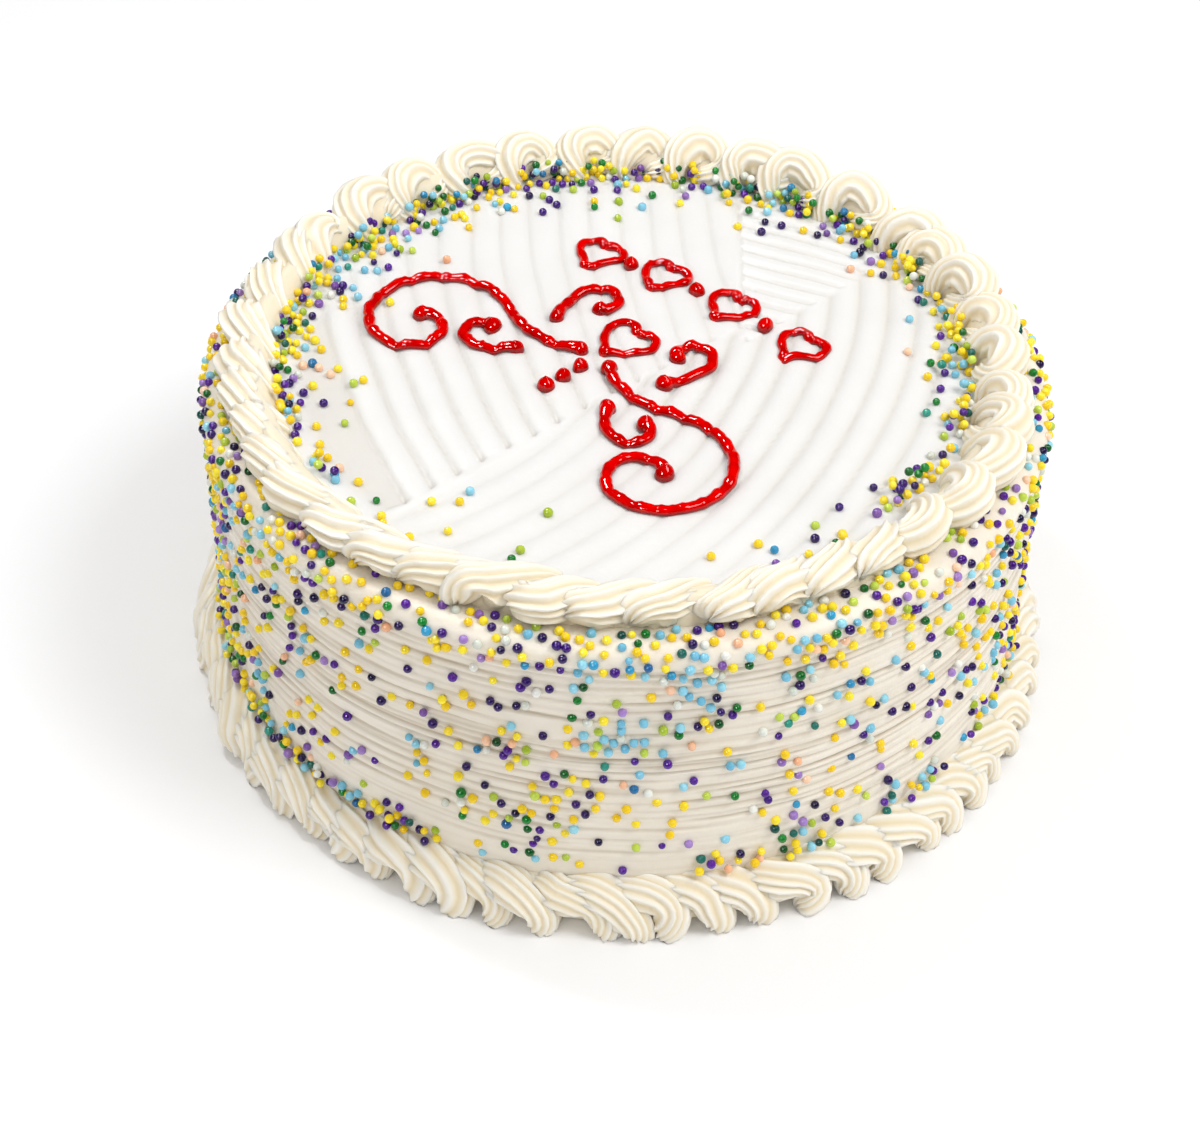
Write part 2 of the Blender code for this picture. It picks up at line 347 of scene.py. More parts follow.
def make_top(material):
    """A disc whose points are evenly spaced: squares of a grid are pushed out to rings."""
    side = np.linspace(-1, 1, TOP_GRID)
    u, v = np.meshgrid(side, side, indexing="xy")
    ring = np.maximum(np.abs(u), np.abs(v))
    steep = np.abs(v) > np.abs(u)
    with np.errstate(divide="ignore", invalid="ignore"):
        turn = np.nan_to_num(np.where(steep, math.pi / 2 - math.pi / 4 * u / v, math.pi / 4 * v / u))
    sign = np.where(steep, np.sign(v), np.sign(u))
    x = TOP_RADIUS_MM * ring * np.cos(turn) * sign
    y = TOP_RADIUS_MM * ring * np.sin(turn) * sign
    relief, hollow = top_relief(x, y)
    top = np.stack([x, y, BODY_HEIGHT + relief], axis=-1).reshape(-1, 3)
    faces = grid_faces(TOP_GRID, TOP_GRID, wrap_columns=False).tolist()
    last = TOP_GRID - 1
    rim = [(0, i) for i in range(last)] + [(i, last) for i in range(last)]
    rim += [(last, last - i) for i in range(last)] + [(last - i, 0) for i in range(last)]
    rim = [row * TOP_GRID + column for row, column in rim]
    below = top[rim]
    below[:, 2] = BODY_HEIGHT - PLATE_MM
    first = len(top)
    for i in range(len(rim)):
        after = (i + 1) % len(rim)
        faces.append([rim[after], rim[i], first + i, first + after])
    faces.append([first + i for i in range(len(rim))][::-1])
    points = np.concatenate([top, below])
    # painted shade in the comb's grooves on the top, at 0.6 of their depth; none on the plate's sides
    hollow = np.concatenate([np.clip(hollow.ravel() * 0.6, 0, 1), np.zeros(len(rim))])
    make_piece("combed_top", points, faces, material, [], hollow)


# ---- borders of piped shells --------------------

SECTION_FINE = 66                               # points round a shell's open side
SECTION_HIDDEN = 4                              # and round the side that it lies on
BLUNT_MM = 2.4                                  # length over which a shell's ends are rounded


def section_turns():
    """Turns round a shell's section: 0 is the outside of its bend, a quarter turn is up."""
    fine = np.radians(np.linspace(-66, 228, SECTION_FINE))
    hidden = np.radians(np.linspace(228, 294, SECTION_HIDDEN + 2)[1:-1])
    return np.concatenate([fine, hidden])


def smooth_rows(rows, steps):
    """More rows of numbers, on smooth curves through every row that is given, and closer at both ends."""
    rows = np.asarray(rows, float)
    slopes = np.gradient(rows, axis=0)
    even = np.linspace(0, 1, steps)
    at = (len(rows) - 1) * (0.6 * even + 0.4 * smooth(even))
    low = np.minimum(at.astype(int), len(rows) - 2)
    t = (at - low)[:, None]
    return ((2 * t ** 3 - 3 * t ** 2 + 1) * rows[low] + (t ** 3 - 2 * t ** 2 + t) * slopes[low]
            + (3 * t ** 2 - 2 * t ** 3) * rows[low + 1] + (t ** 3 - t ** 2) * slopes[low + 1])


def loosen(rows, amounts, draw):
    """The same rows with slow random changes, so that no two shells are alike."""
    knots = np.linspace(0, len(rows) - 1, 4)
    moves = [np.interp(np.arange(len(rows)), knots, draw.normal(size=4)) for _ in amounts]
    return np.asarray(rows) + np.stack(moves, axis=1) * amounts


def star_rope(centre, width, thickness, ridges, depth, twist, fingers, slant, draw):
    """A rope with sharp lengthwise ridges, swept along a centre line and written as rows of points.

    width and thickness are its half sizes across its bend and up. Towards the inside of the bend it stops at
    the bend's own middle. fingers says how far its ridges reach past its first and last ends, and slant how
    far its sections lean along it, so that its ends are cut at a slant. Returns the points and how hollow
    each is: the valleys are, and so are the sides, low down, where the rope meets its neighbours.
    """
    turn = section_turns()
    along = np.gradient(centre, axis=0)
    swerve = np.gradient(along, axis=0)
    flat = np.hypot(along[:, 0], along[:, 1])
    bend = np.abs(along[:, 0] * swerve[:, 1] - along[:, 1] * swerve[:, 0]) / flat ** 3
    along /= np.linalg.norm(along, axis=1, keepdims=True)
    inner = np.minimum(width, 0.97 / np.maximum(bend, 1e-6))
    inner = np.convolve(np.pad(inner, 3, mode="edge"), np.ones(7) / 7, mode="valid")
    outward = np.stack([along[:, 1], -along[:, 0], 0 * flat], axis=1)
    outward /= np.linalg.norm(outward, axis=1, keepdims=True)
    up = np.cross(outward, along)
    up *= np.sign(up[len(up) // 2, 2])
    warped = turn + 0.09 * np.sin(2 * turn + draw.uniform(0, 6.3))
    warped = warped + 0.06 * np.sin(3 * turn + draw.uniform(0, 6.3))
    place = ridges * (warped[None, :] + twist[:, None]) / (2 * math.pi)
    strength = draw.uniform(0.6, 1.2, ridges)[np.floor(place).astype(int) % ridges]
    crest = (1 - 2 * np.abs(place % 1.0 - 0.5)) ** 1.45 * strength
    lengths = np.concatenate([[0], np.cumsum(np.linalg.norm(np.diff(centre, axis=0), axis=1))])
    from_ends = np.stack([lengths, lengths[-1] - lengths])
    blunt = np.sqrt(1 - 0.97 * (1 - np.clip(from_ends.min(axis=0) / BLUNT_MM, 0, 1)) ** 2)[:, None]
    size = blunt * (1 - depth * (1 - crest))
    reach = np.where(np.cos(turn) > 0, width[:, None], inner[:, None]) * np.cos(turn)
    points = (centre[:, None, :] + (size * reach)[:, :, None] * outward[:, None, :]
              + (thickness[:, None] * size * np.sin(turn))[:, :, None] * up[:, None, :])
    points = points + (slant * size * reach)[:, :, None] * along[:, None, :]
    for end, sign, finger in ((0, -1, fingers[0]), (-1, 1, fingers[1])):
        out = sign * finger * crest * np.exp(-from_ends[end] / 1.8)[:, None]
        points = points + out[:, :, None] * along[end]
    # painted shade: the cream's material darkens and warms the ridges' valleys and the low sides where shells
    # meet their neighbours
    low = 0.72 * smooth((0.3 - np.sin(turn)) / 0.6)
    return points, np.maximum(1 - np.clip(crest, 0, 1), low)


def join_ropes(ropes):
    """One set of points, faces and hollows from several closed ropes, each with its faces' fronts outside."""
    faces, count = [], 0
    for points, _ in ropes:
        rows, columns = points.shape[:2]
        sides = grid_faces(rows, columns)
        corner = (points.reshape(-1, 3) - points.reshape(-1, 3).mean(axis=0))[sides]
        volume = np.sum(np.cross(corner[:, 0], corner[:, 1]) * corner[:, 2])
        first = list(range(columns))[::-1]
        last = [(rows - 1) * columns + column for column in range(columns)]
        for face in sides.tolist() + [first, last]:
            faces.append([count + point for point in (face if volume > 0 else face[::-1])])
        count += rows * columns
    points = np.concatenate([points.reshape(-1, 3) for points, _ in ropes])
    return points, faces, np.concatenate([hollow.ravel() for _, hollow in ropes])


def swollen_ring(radii, heights, seed):
    """The cream behind a border's shells: a closed ring with this outline, inner side first. All its points
    are 0.8 hollow, so the cream's material paints shade all over it.
    """
    angles = np.linspace(0, 2 * math.pi, 300, endpoint=False)
    radius, angle = np.meshgrid(np.array(radii), angles, indexing="ij")
    height = np.repeat(np.array(heights, float)[:, None], len(angles), axis=1)
    swell = waves(polar(radius, angle, height).reshape(-1, 3), 4, 14, seed).reshape(radius.shape)
    free = np.ones((len(radii), 1))
    free[[0, -2, -1]] = 0
    points = polar(radius + 0.7 * swell * free, angle, height + 0.4 * swell * free)
    rings, columns = radius.shape
    around = np.arange(columns)
    last = (rings - 1) * columns + around
    closing = np.stack([last, np.roll(last, -1), np.roll(around, -1), around], axis=1)
    faces = np.concatenate([grid_faces(rings, columns), closing])[:, ::-1]
    return points.reshape(-1, 3), faces, np.full(rings * columns, 0.8)


def with_ring(points, faces, hollow, ring):
    """A border's shells and the ring behind them as one piece."""
    ring_points, ring_faces, ring_hollow = ring
    faces = faces + (ring_faces + len(points)).tolist()
    return np.concatenate([points, ring_points]), faces, np.concatenate([hollow, ring_hollow])


TOP_SHELLS = 40
TOP_STEPS = 36
TOP_RIDGES = 11
TOP_MIDDLE_MM = 97.0
PITCH_SWING = 0.13                              # shells are wider at the back than at the front by this part

# Strokes of the top border, from the inner foot to the head: along the ring anticlockwise, out from the
# middle and up from the cake's top, then half width and half thickness.
ROUND_STROKE = (
    (2.2, 92.4, -2.6, 3.2, 3.0), (3.2, 94.2, 1.2, 4.5, 4.4), (3.0, 97.2, 4.4, 5.4, 5.7),
    (0.6, 100.4, 6.0, 5.9, 6.6), (-3.4, 101.6, 6.0, 5.8, 6.6), (-7.0, 100.2, 4.7, 5.0, 5.6),
    (-8.4, 97.4, 3.2, 4.0, 4.4), (-6.8, 94.9, 2.2, 3.2, 3.6), (-3.6, 93.9, 1.2, 2.7, 3.2),
)
LONG_STROKE = (
    (12.5, 90.6, -1.8, 3.4, 3.0), (9.8, 92.6, 0.4, 4.5, 3.8), (6.4, 95.2, 2.2, 5.4, 4.6),
    (2.6, 97.6, 3.3, 6.0, 5.0), (-1.2, 99.6, 3.9, 6.2, 5.3), (-4.8, 101.2, 4.2, 6.2, 5.4),
    (-8.0, 102.3, 4.2, 6.0, 5.4), (-10.6, 102.9, 3.8, 5.7, 5.2), (-12.6, 103.2, 3.0, 5.2, 4.8),
)
LONG_TUCK = np.array((1.0, 0.9, 0.75, 0.55, 0.35, 0.2, 0.1, 0.0, 0.0))  # rows' share in the foot's move
# Shells are moved out from the cake's middle here: middle and width, in degrees, and how far.
TOP_OUTWARD = ((255, 14, -0.8), (165, 30, 1.4), (222, 28, 1.6), (302, 10, -0.8), (328, 26, 2.2))
TOP_DROOPS = ((257, 4, 1.2), (243, 4, 1.1))     # and their heads droop over the wall here, this much


def top_shell(number, draw):
    """One shell of the top border: round at the back and the right, long at the front and the left."""
    even = 2 * math.pi * (number + 0.12 * draw.normal()) / TOP_SHELLS
    place = even - PITCH_SWING * math.cos(even)
    stretch = 1 + 0.8 * PITCH_SWING * math.sin(even)
    size = 1 + 0.05 * draw.normal() - 0.1 * hump(math.degrees(place), 118, 25)
    degrees = math.degrees(place) % 360
    long = 1 - float(smooth((abs(degrees - 235) - 65) / 35))
    rows = np.array(ROUND_STROKE) * (1 - long) + np.array(LONG_STROKE) * long
    rows = loosen(rows, (0.9, 0.6, 0.4, 0.25, 0.3), draw)
    rows[:, 1] += LONG_TUCK * 2.6 * hump(degrees, 185, 38)
    rows[:, 1] += sum(out * hump(degrees, middle, width) for middle, width, out in TOP_OUTWARD)
    rows[:, 2:] *= size
    left = hump(degrees, 172, 35)
    rows[:, 0] *= 1.12 - 0.12 * long
    rows[:, 0] *= 1 + long * (0.02 - 0.38 * left - 0.24 * hump(degrees, 298, 25))
    rows[:, 3] *= (1.06 - 0.06 * long) * (1 + 0.1 * long * left)
    droop = max(most * hump(degrees, middle, width) for middle, width, most in TOP_DROOPS)
    droop = long * max(droop, draw.uniform(0, 1) ** 2)
    rows[-2] += np.array((0, 0.6, -1.2, 0.1, 0)) * droop
    rows[-1] += np.array((0.6, 1.6, -4.2, 0, 0)) * droop
    ring, out, rise, width, thickness = smooth_rows(rows, TOP_STEPS).T
    along = np.linspace(0, 1, TOP_STEPS)
    twist = draw.uniform(0, 6.3) + draw.uniform(-0.1, 0.5) * along
    twist = twist + 0.04 * np.sin(6 * along + draw.uniform(0, 6.3))
    centre = np.stack([ring * stretch, out, rise], axis=1)
    points, hollow = star_rope(centre, width * (1 + stretch) / 2, thickness, TOP_RIDGES, 0.17 + 0.12 * long,
                               twist, (1.0, 1.8), -0.75 * long, draw)
    angle = place + points[..., 0] / TOP_MIDDLE_MM
    return polar(points[..., 1], angle, BODY_HEIGHT + points[..., 2]), hollow


def make_top_border(material):
    draw = np.random.default_rng(SEED + 6)
    ropes = [top_shell(number, draw) for number in range(TOP_SHELLS)]
    below = np.array([0, 0, BODY_HEIGHT - 20])
    half = TOP_SHELLS // 2
    for name, chosen in (("top_shells_back", ropes[:half]), ("top_shells_front", ropes[half:])):
        points, faces, hollow = join_ropes(chosen)
        away = points - below
        away /= np.linalg.norm(away, axis=1, keepdims=True)
        uneven = 0.10 * waves(points, 2.0, 5, SEED + 7) + 0.25 * waves(points, 7, 18, SEED + 8)
        points = points + away * uneven[:, None]
        if name == "top_shells_front":
            radii = (93.8, 95.2, 97.6, 100.4, 102.4, 103.6, 103.6, 93.8)
            heights = BODY_HEIGHT + np.array((0.0, 3.4, 6.6, 6.6, 3.0, -0.6, -1.2, -1.2))
            points, faces, hollow = with_ring(points, faces, hollow, swollen_ring(radii, heights, SEED + 14))
        make_piece(name, points, faces, material, ["top_border"], hollow)


FOOT_SHELLS = 64
FOOT_STEPS = 19
FOOT_RIDGES = 13
FOOT_MIDDLE_MM = 119.5
FOOT_LIFT_MM = 4.6
FOOT_LEAN = math.radians(42)                    # of the shells' own ground, from the wall down to the floor

# Strokes of the foot border, from the floor to the hidden start: along the ring anticlockwise, up the leaning
# ground and out from it, then half width and half thickness.
CURLED_FOOT_STROKE = (
    (3.4, -3.8, -2.6, 4.6, 2.9), (5.0, -1.8, -0.9, 5.8, 4.0), (5.2, 1.4, 0.6, 6.5, 4.6),
    (3.2, 4.8, 1.3, 6.8, 4.9), (-1.4, 7.4, 1.3, 6.8, 4.9), (-6.8, 8.6, 0.4, 6.2, 4.4),
    (-12.4, 8.8, -1.2, 5.2, 3.6),
)
FLAT_FOOT_STROKE = (
    (7.2, -4.0, -2.8, 4.2, 3.0), (7.4, -1.6, -0.8, 5.4, 4.0), (5.8, 1.2, 0.7, 6.3, 4.6),
    (2.2, 4.2, 1.4, 6.7, 4.9), (-2.6, 6.6, 1.4, 6.7, 4.9), (-7.4, 8.0, 0.3, 6.0, 4.4),
    (-12.2, 8.5, -1.4, 5.0, 3.6),
)


def foot_shell(number, draw):
    """One shell of the foot border. Those at the right of the front curl back where they end."""
    place = 2 * math.pi * (number + 0.13 * draw.normal()) / FOOT_SHELLS
    degrees = math.degrees(place) % 360
    curl = 0.55 * float(smooth((degrees - 262) / 18)) + draw.uniform(-0.05, 0.25)
    rows = np.array(FLAT_FOOT_STROKE) * (1 - curl) + np.array(CURLED_FOOT_STROKE) * curl
    flat = float(hump(degrees, 212, 26))
    rows[:, 1] += 0.25 * flat * (2.4 - rows[:, 1])
    rows[:, 3] *= 1 + 0.1 * flat
    rows = loosen(rows, (0.9, 0.6, 0.3, 0.25, 0.25), draw)
    rows[:, 3:] *= 1 + 0.06 * draw.normal()
    ring, climb, rise, width, thickness = smooth_rows(rows, FOOT_STEPS).T
    twist = draw.uniform(0, 6.3) + draw.uniform(-0.2, 0.5) * np.linspace(0, 1, FOOT_STEPS)
    centre = np.stack([ring, climb, rise], axis=1)
    points, hollow = star_rope(centre, width, thickness, FOOT_RIDGES, 0.22, twist, (1.6, 0.0),
                               -0.7 * (1 - curl), draw)
    angle = place + points[..., 0] / FOOT_MIDDLE_MM
    out = FOOT_MIDDLE_MM - points[..., 1] * math.cos(FOOT_LEAN) + points[..., 2] * math.sin(FOOT_LEAN)
    height = FOOT_LIFT_MM + points[..., 1] * math.sin(FOOT_LEAN) + points[..., 2] * math.cos(FOOT_LEAN)
    return polar(out, angle, np.maximum(height, 0.02 * out / FOOT_MIDDLE_MM)), hollow


def make_foot_border(material):
    draw = np.random.default_rng(SEED + 9)
    points, faces, hollow = join_ropes([foot_shell(number, draw) for number in range(FOOT_SHELLS)])
    outward = points * (1, 1, 0)
    outward /= np.linalg.norm(outward, axis=1, keepdims=True)
    points = points + outward * (0.12 * waves(points, 2.0, 5, SEED + 10))[:, None]
    radii = (112.6, 114.6, 116.6, 118.0, 118.4, 117.8, 116.4, 112.6)
    heights = (13.8, 12.8, 10.8, 8.0, 4.8, 1.8, 0.02, 0.02)
    points, faces, hollow = with_ring(points, faces, hollow, swollen_ring(radii, heights, SEED + 13))
    make_piece("foot_shells", points, faces, material, ["foot_border"], hollow)


# ---- red line ornament, on the CAD's lines --------------------

LINE_RADIUS_MM = 1.6
DOT_RADIUS_MM = 2.3
ORNAMENT_CENTRE_MM = (-6.0, 3.0)
ORNAMENT_TURN = math.radians(-44)
HEART_SIZE_MM = 13.0
HEART_ROW_MM = ((-9.0, 50.0), (47.0, 9.0))
HEART_ROW_SAG_MM = 4.0
HEART_ROW_TURN = (-28.0, -42.0)                 # degrees, first and last heart
HEART_ROW_PLACES = 7                            # hearts and dots by turns
HEART_TALLER = 1.18
HEART_LINE = 0.8                                # a heart's line is this much of the scroll's
LINE_SIDES = 20

# Half of the scroll, from its centre and in degrees. Each bend is a length and the turn per millimetre at its
# start and its end.
SCROLL_LINES = {
    "scroll_stem": ((4.5, -3.0), -40, ((24, 2.5, 2.5), (12, 0.6, -2.4), (52, -2.7, -3.3), (42, -3.3, -9.5))),
    "scroll_low_curl": ((17.0, -15.0), -62, ((10, 2.0, 4.0), (22, 6.0, 16.0))),
    "scroll_high_curl": ((20.0, 0.5), 66, ((14, 0.0, 3.0), (24, 7.0, 15.0))),
}
SCROLL_HEART_MM = (0.0, 8.0)
SCROLL_HEART_SIZE_MM = 15.0
SCROLL_DOTS_MM = ((0.0, -9.0), (0.0, -15.5), (0.0, -21.5))


def bend_path(start, heading, bends):
    """Points along a line that starts at a place and heading and turns at a rate that changes evenly."""
    x, y = start
    angle = math.radians(heading)
    points = [(x, y)]
    for length, first_rate, last_rate in bends:
        steps = round(length / 0.5)
        piece = length / steps
        for step in range(steps):
            rate = first_rate + (last_rate - first_rate) * (step + 0.5) / steps
            angle += math.radians(rate * piece) / 2
            x += math.cos(angle) * piece
            y += math.sin(angle) * piece
            angle += math.radians(rate * piece) / 2
            points.append((x, y))
    return np.array(points)


def heart_stroke(centre, size, turn, side):
    """One side of a heart, from its notch to its tip, a little taller than the CAD's."""
    t = np.linspace(0.3, math.pi * 0.99, 60) * side
    across = size / 32 * 16 * np.sin(t) ** 3
    up = HEART_TALLER * size / 32 * (13 * np.cos(t) - 5 * np.cos(2 * t) - 2 * np.cos(3 * t) - np.cos(4 * t))
    return np.stack([centre[0] + across * math.cos(turn) - up * math.sin(turn),
                     centre[1] + across * math.sin(turn) + up * math.cos(turn)], axis=1)


def on_diagonal(points):
    """From the scroll's own axes to the cake's."""
    u, v = np.asarray(points, float).T
    cosine, sine = math.cos(ORNAMENT_TURN), math.sin(ORNAMENT_TURN)
    return np.stack([ORNAMENT_CENTRE_MM[0] + u * cosine - v * sine,
                     ORNAMENT_CENTRE_MM[1] + u * sine + v * cosine], axis=-1)


def gel_stroke(path, draw, start_blob, end_blob, line=1.0):
    """A squeezed line of gel: uneven, flattened underneath, with a blob where the tip rested at its ends."""
    lengths = np.concatenate([[0], np.cumsum(np.linalg.norm(np.diff(path, axis=0), axis=1))])
    total = lengths[-1]
    even = np.linspace(0, 1, max(12, int(total / 0.85)))
    at = total * (even - 0.9 * np.sin(2 * math.pi * even) / (2 * math.pi) / (1 + total / 12))
    x, y = (np.interp(at, lengths, path[:, axis]) for axis in (0, 1))
    around = at * 2 * math.pi
    wobble = sum(np.sin(around / draw.uniform(5, 13) + draw.uniform(0, 6.3)) for _ in range(3)) * 0.10
    lumps = sum(np.sin(around / draw.uniform(2.5, 7) + draw.uniform(0, 6.3)) for _ in range(4)) * 0.038
    along = np.gradient(np.stack([x, y], axis=1), axis=0)
    along /= np.linalg.norm(along, axis=1, keepdims=True)
    side = np.stack([-along[:, 1], along[:, 0]], axis=1)
    radius = line * LINE_RADIUS_MM * (1 + lumps)
    radius = radius + start_blob * hump(at, 2.0, 2.2) + end_blob * hump(at, total - 2.0, 2.2)
    to_end = np.minimum(at, total - at)
    cap = np.clip(to_end / 1.6, 0, 1)
    radius = radius * np.sqrt(1 - (1 - cap) ** 2 * 0.98)
    turn = np.linspace(0, 2 * math.pi, LINE_SIDES, endpoint=False)
    ground = BODY_HEIGHT + top_relief(x, y)[0] - 0.5
    lift = np.maximum(np.sin(turn)[None, :], -0.45)
    reach = radius[:, None] * np.cos(turn)[None, :] + wobble[:, None]
    points = np.stack([
        x[:, None] + side[:, 0:1] * reach,
        y[:, None] + side[:, 1:2] * reach,
        ground[:, None] + radius[:, None] * (0.9 * lift + 0.75),
    ], axis=-1)
    # painted shade: the line's low sides get a high "hollow", which the gel's material paints deeper red
    return points, np.repeat(0.9 * smooth((0.75 - np.sin(turn)) / 1.1)[None, :], len(at), axis=0)


def gel_dot(place, draw, size=1.0):
    """A drop of gel with a short peak where the tip was pulled away."""
    rows = np.linspace(0, 1, 12)
    turn = np.linspace(0, 2 * math.pi, LINE_SIDES, endpoint=False)
    swell = 1 + 0.07 * np.sin(2 * turn + draw.uniform(0, 6.3))
    swell = swell + 0.04 * np.sin(3 * turn + draw.uniform(0, 6.3))
    radius = size * DOT_RADIUS_MM * np.cos(math.pi / 2 * rows ** 1.2)[:, None] * swell + 0.02
    pull = draw.uniform(-0.5, 0.5, 2)           # where the peak leans
    height = (3.1 * np.sin(math.pi / 2 * rows) + 0.7 * rows ** 6)[:, None] + 0 * turn
    lean = (rows ** 3)[:, None]
    x = place[0] + radius * np.cos(turn) + pull[0] * lean
    y = place[1] + radius * np.sin(turn) + pull[1] * lean
    points = np.stack([x, y, BODY_HEIGHT - 0.6 + height], axis=-1)
    # painted shade: the drop's lower rows get a high "hollow", which the gel's material paints deeper red
    return points, np.repeat(0.9 * smooth(1 - 1.7 * rows)[:, None], LINE_SIDES, axis=1)


def make_gel(name, ropes, material):
    points, faces, low = join_ropes(ropes)
    make_piece(f"gel_{name}", points, faces, material, [name], low)


def make_ornament(material):
    """The red pieces. Returns points along their lines, which pearls keep off.

    A path comes with the blobs at its ends and its line's share of the full width.
    """
    draw = np.random.default_rng(SEED + 11)
    paths = {}
    for side, sign in (("right", 1), ("left", -1)):
        for name, (start, heading, bends) in SCROLL_LINES.items():
            paths[f"{name}_{side}"] = [(on_diagonal(bend_path(start, heading, bends) * (sign, 1)), 0.3, 0.4)]
    lobes = [heart_stroke(SCROLL_HEART_MM, SCROLL_HEART_SIZE_MM, 0.0, side) for side in (-1, 1)]
    paths["scroll_heart"] = [(on_diagonal(lobe), 0.25, 0.2, HEART_LINE) for lobe in lobes]
    dots = {f"scroll_dot_{number}": on_diagonal([place])[0] for number, place in enumerate(SCROLL_DOTS_MM, 1)}
    (x0, y0), (x1, y1) = HEART_ROW_MM
    for place in range(HEART_ROW_PLACES):
        along = place / (HEART_ROW_PLACES - 1)
        centre = (x0 + (x1 - x0) * along,
                  y0 + (y1 - y0) * along + HEART_ROW_SAG_MM * math.sin(math.pi * along))
        turn = math.radians(HEART_ROW_TURN[0] + (HEART_ROW_TURN[1] - HEART_ROW_TURN[0]) * along)
        if place % 2 == 0:
            strokes = [heart_stroke(centre, HEART_SIZE_MM, turn, side) for side in (-1, 1)]
            paths[f"heart_{place // 2 + 1}"] = [(stroke, 0.25, 0.2, HEART_LINE) for stroke in strokes]
        else:
            dots[f"heart_row_dot_{place // 2 + 1}"] = np.array(centre)
    for name, strokes in paths.items():
        ropes = [gel_stroke(path, draw, *blobs) for path, *blobs in strokes]
        if len(strokes) == 1:
            path = strokes[0][0]
            for place, least in ((path[3], 0.9), (path[-4], 1.0)):
                ropes.append(gel_dot(place, draw, draw.uniform(least, least + 0.2)))
        make_gel(name, ropes, material)
    for name, place in dots.items():
        make_gel(name, [gel_dot(place, draw)], material)
    return np.concatenate([path for strokes in paths.values() for path, *_ in strokes]
                          + [np.array(list(dots.values()))])


# ---- sugar pearls --------------------

PEARL_RADIUS_MM = 1.17
PEARL_SPACING_MM = 1.9 * PEARL_RADIUS_MM
LINE_CLEARANCE_MM = 3.4
GROOVE_MM = 16.0                                # height of the foot border's groove on the wall
LIP_PEARLS_MM = 84.5                            # the lip's own pearls start this high
PEARL_COLOURS = {                               # share of all pearls, record's slot, dark and light colour
    "yellow": (0.40, "yellow_pearls", (0.90, 0.58, 0.0), (1.0, 0.84, 0.03)),
    "purple": (0.13, "purple_pearls", (0.03, 0.003, 0.14), (0.11, 0.012, 0.36)),
    "dark": (0.08, "purple_pearls", (0.006, 0.002, 0.035), (0.035, 0.006, 0.14)),
    "green": (0.065, "green_pearls", (0.0, 0.055, 0.008), (0.002, 0.27, 0.025)),
    "teal": (0.035, "green_pearls", (0.0, 0.055, 0.045), (0.02, 0.33, 0.25)),
    "sky": (0.10, "blue_pearls", (0.14, 0.46, 0.66), (0.34, 0.72, 0.86)),
    "blue": (0.03, "blue_pearls", (0.01, 0.10, 0.30), (0.03, 0.42, 0.70)),
    "lime": (0.065, "lime_pearls", (0.32, 0.45, 0.01), (0.62, 0.78, 0.10)),
    "peach": (0.03, "peach_pearls", (0.88, 0.42, 0.22), (1.0, 0.70, 0.50)),
    "lilac": (0.04, "lilac_pearls", (0.16, 0.05, 0.32), (0.42, 0.26, 0.66)),
    "white": (0.055, "white_pearls", (0.62, 0.66, 0.58), (0.88, 0.88, 0.82)),
}

# By angle in degrees: pearls to a degree of the ring on the top, how far they spread from the border in
# millimetres, pearls to a square centimetre of the wall and pearls to a degree on the lip.
PEARL_BANDS = (
    (-180, 3.8, 5.0, 7.2, 5.0), (-165, 3.2, 5.5, 7.2, 6.6), (-150, 1.7, 5.5, 6.0, 6.4),
    (-138, 0.6, 4.0, 4.6, 4.6), (-125, 0.35, 4.0, 2.6, 2.0), (-112, 0.12, 3.0, 2.6, 2.6),
    (-104, 0.02, 3.0, 3.4, 5.5), (-90, 0.02, 3.0, 3.6, 6.4), (-70, 0.02, 3.0, 4.0, 6.4),
    (-55, 0.25, 3.0, 4.0, 5.0), (-38, 0.5, 3.0, 3.8, 3.0), (-25, 0.9, 3.5, 5.4, 3.0),
    (-10, 1.6, 4.0, 7.2, 4.0), (5, 4.2, 3.5, 7.2, 4.0), (20, 3.0, 3.0, 5.4, 3.0),
    (45, 4.6, 2.6, 4.0, 2.6), (70, 6.0, 2.4, 3.6, 2.6), (95, 6.6, 2.6, 3.6, 2.6),
    (120, 6.6, 3.6, 4.2, 2.6), (145, 5.4, 5.0, 5.4, 3.4), (165, 4.4, 5.0, 6.6, 4.4),
    (180, 3.8, 5.0, 7.2, 5.0),
)
# Clusters on the wall: middle angle and height, spreads, number of pearls and their colours.
WALL_CLUSTERS = (
    (-90, 65, 2.6, 3.0, 34, ("sky", "sky", "sky", "white", "lime")),
    (-99, 42, 3.2, 14, 40, ("dark", "purple", "green", "yellow", "lime")),
    (-95, 87, 4.0, 2.0, 30, ("sky", "blue", "purple", "dark", "yellow")),
    (-81, 80, 1.6, 4.0, 14, ("sky", "sky", "white")),
    (-77, 70, 2.2, 5.0, 14, ("yellow", "green", "dark")),
    (-119, 18, 2.2, 3.0, 14, ("dark", "yellow", "purple")),
)
# Piles on the top beside the border: middle angle, number of pearls.
TOP_PILES = (
    (4, 46), (14, 14), (28, 28), (-14, 20), (-30, 14), (-37, 8), (44, 34), (58, 38), (71, 40),
    (83, 40), (97, 42), (108, 42), (120, 44), (133, 40), (146, 34), (161, 26), (178, 18), (-166, 14),
)
PILE_COLOURS = ["yellow"] * 9 + ["green"] * 3 + ["purple", "lime", "sky"] * 2
PILE_COLOURS += ["dark", "teal", "white", "blue"]
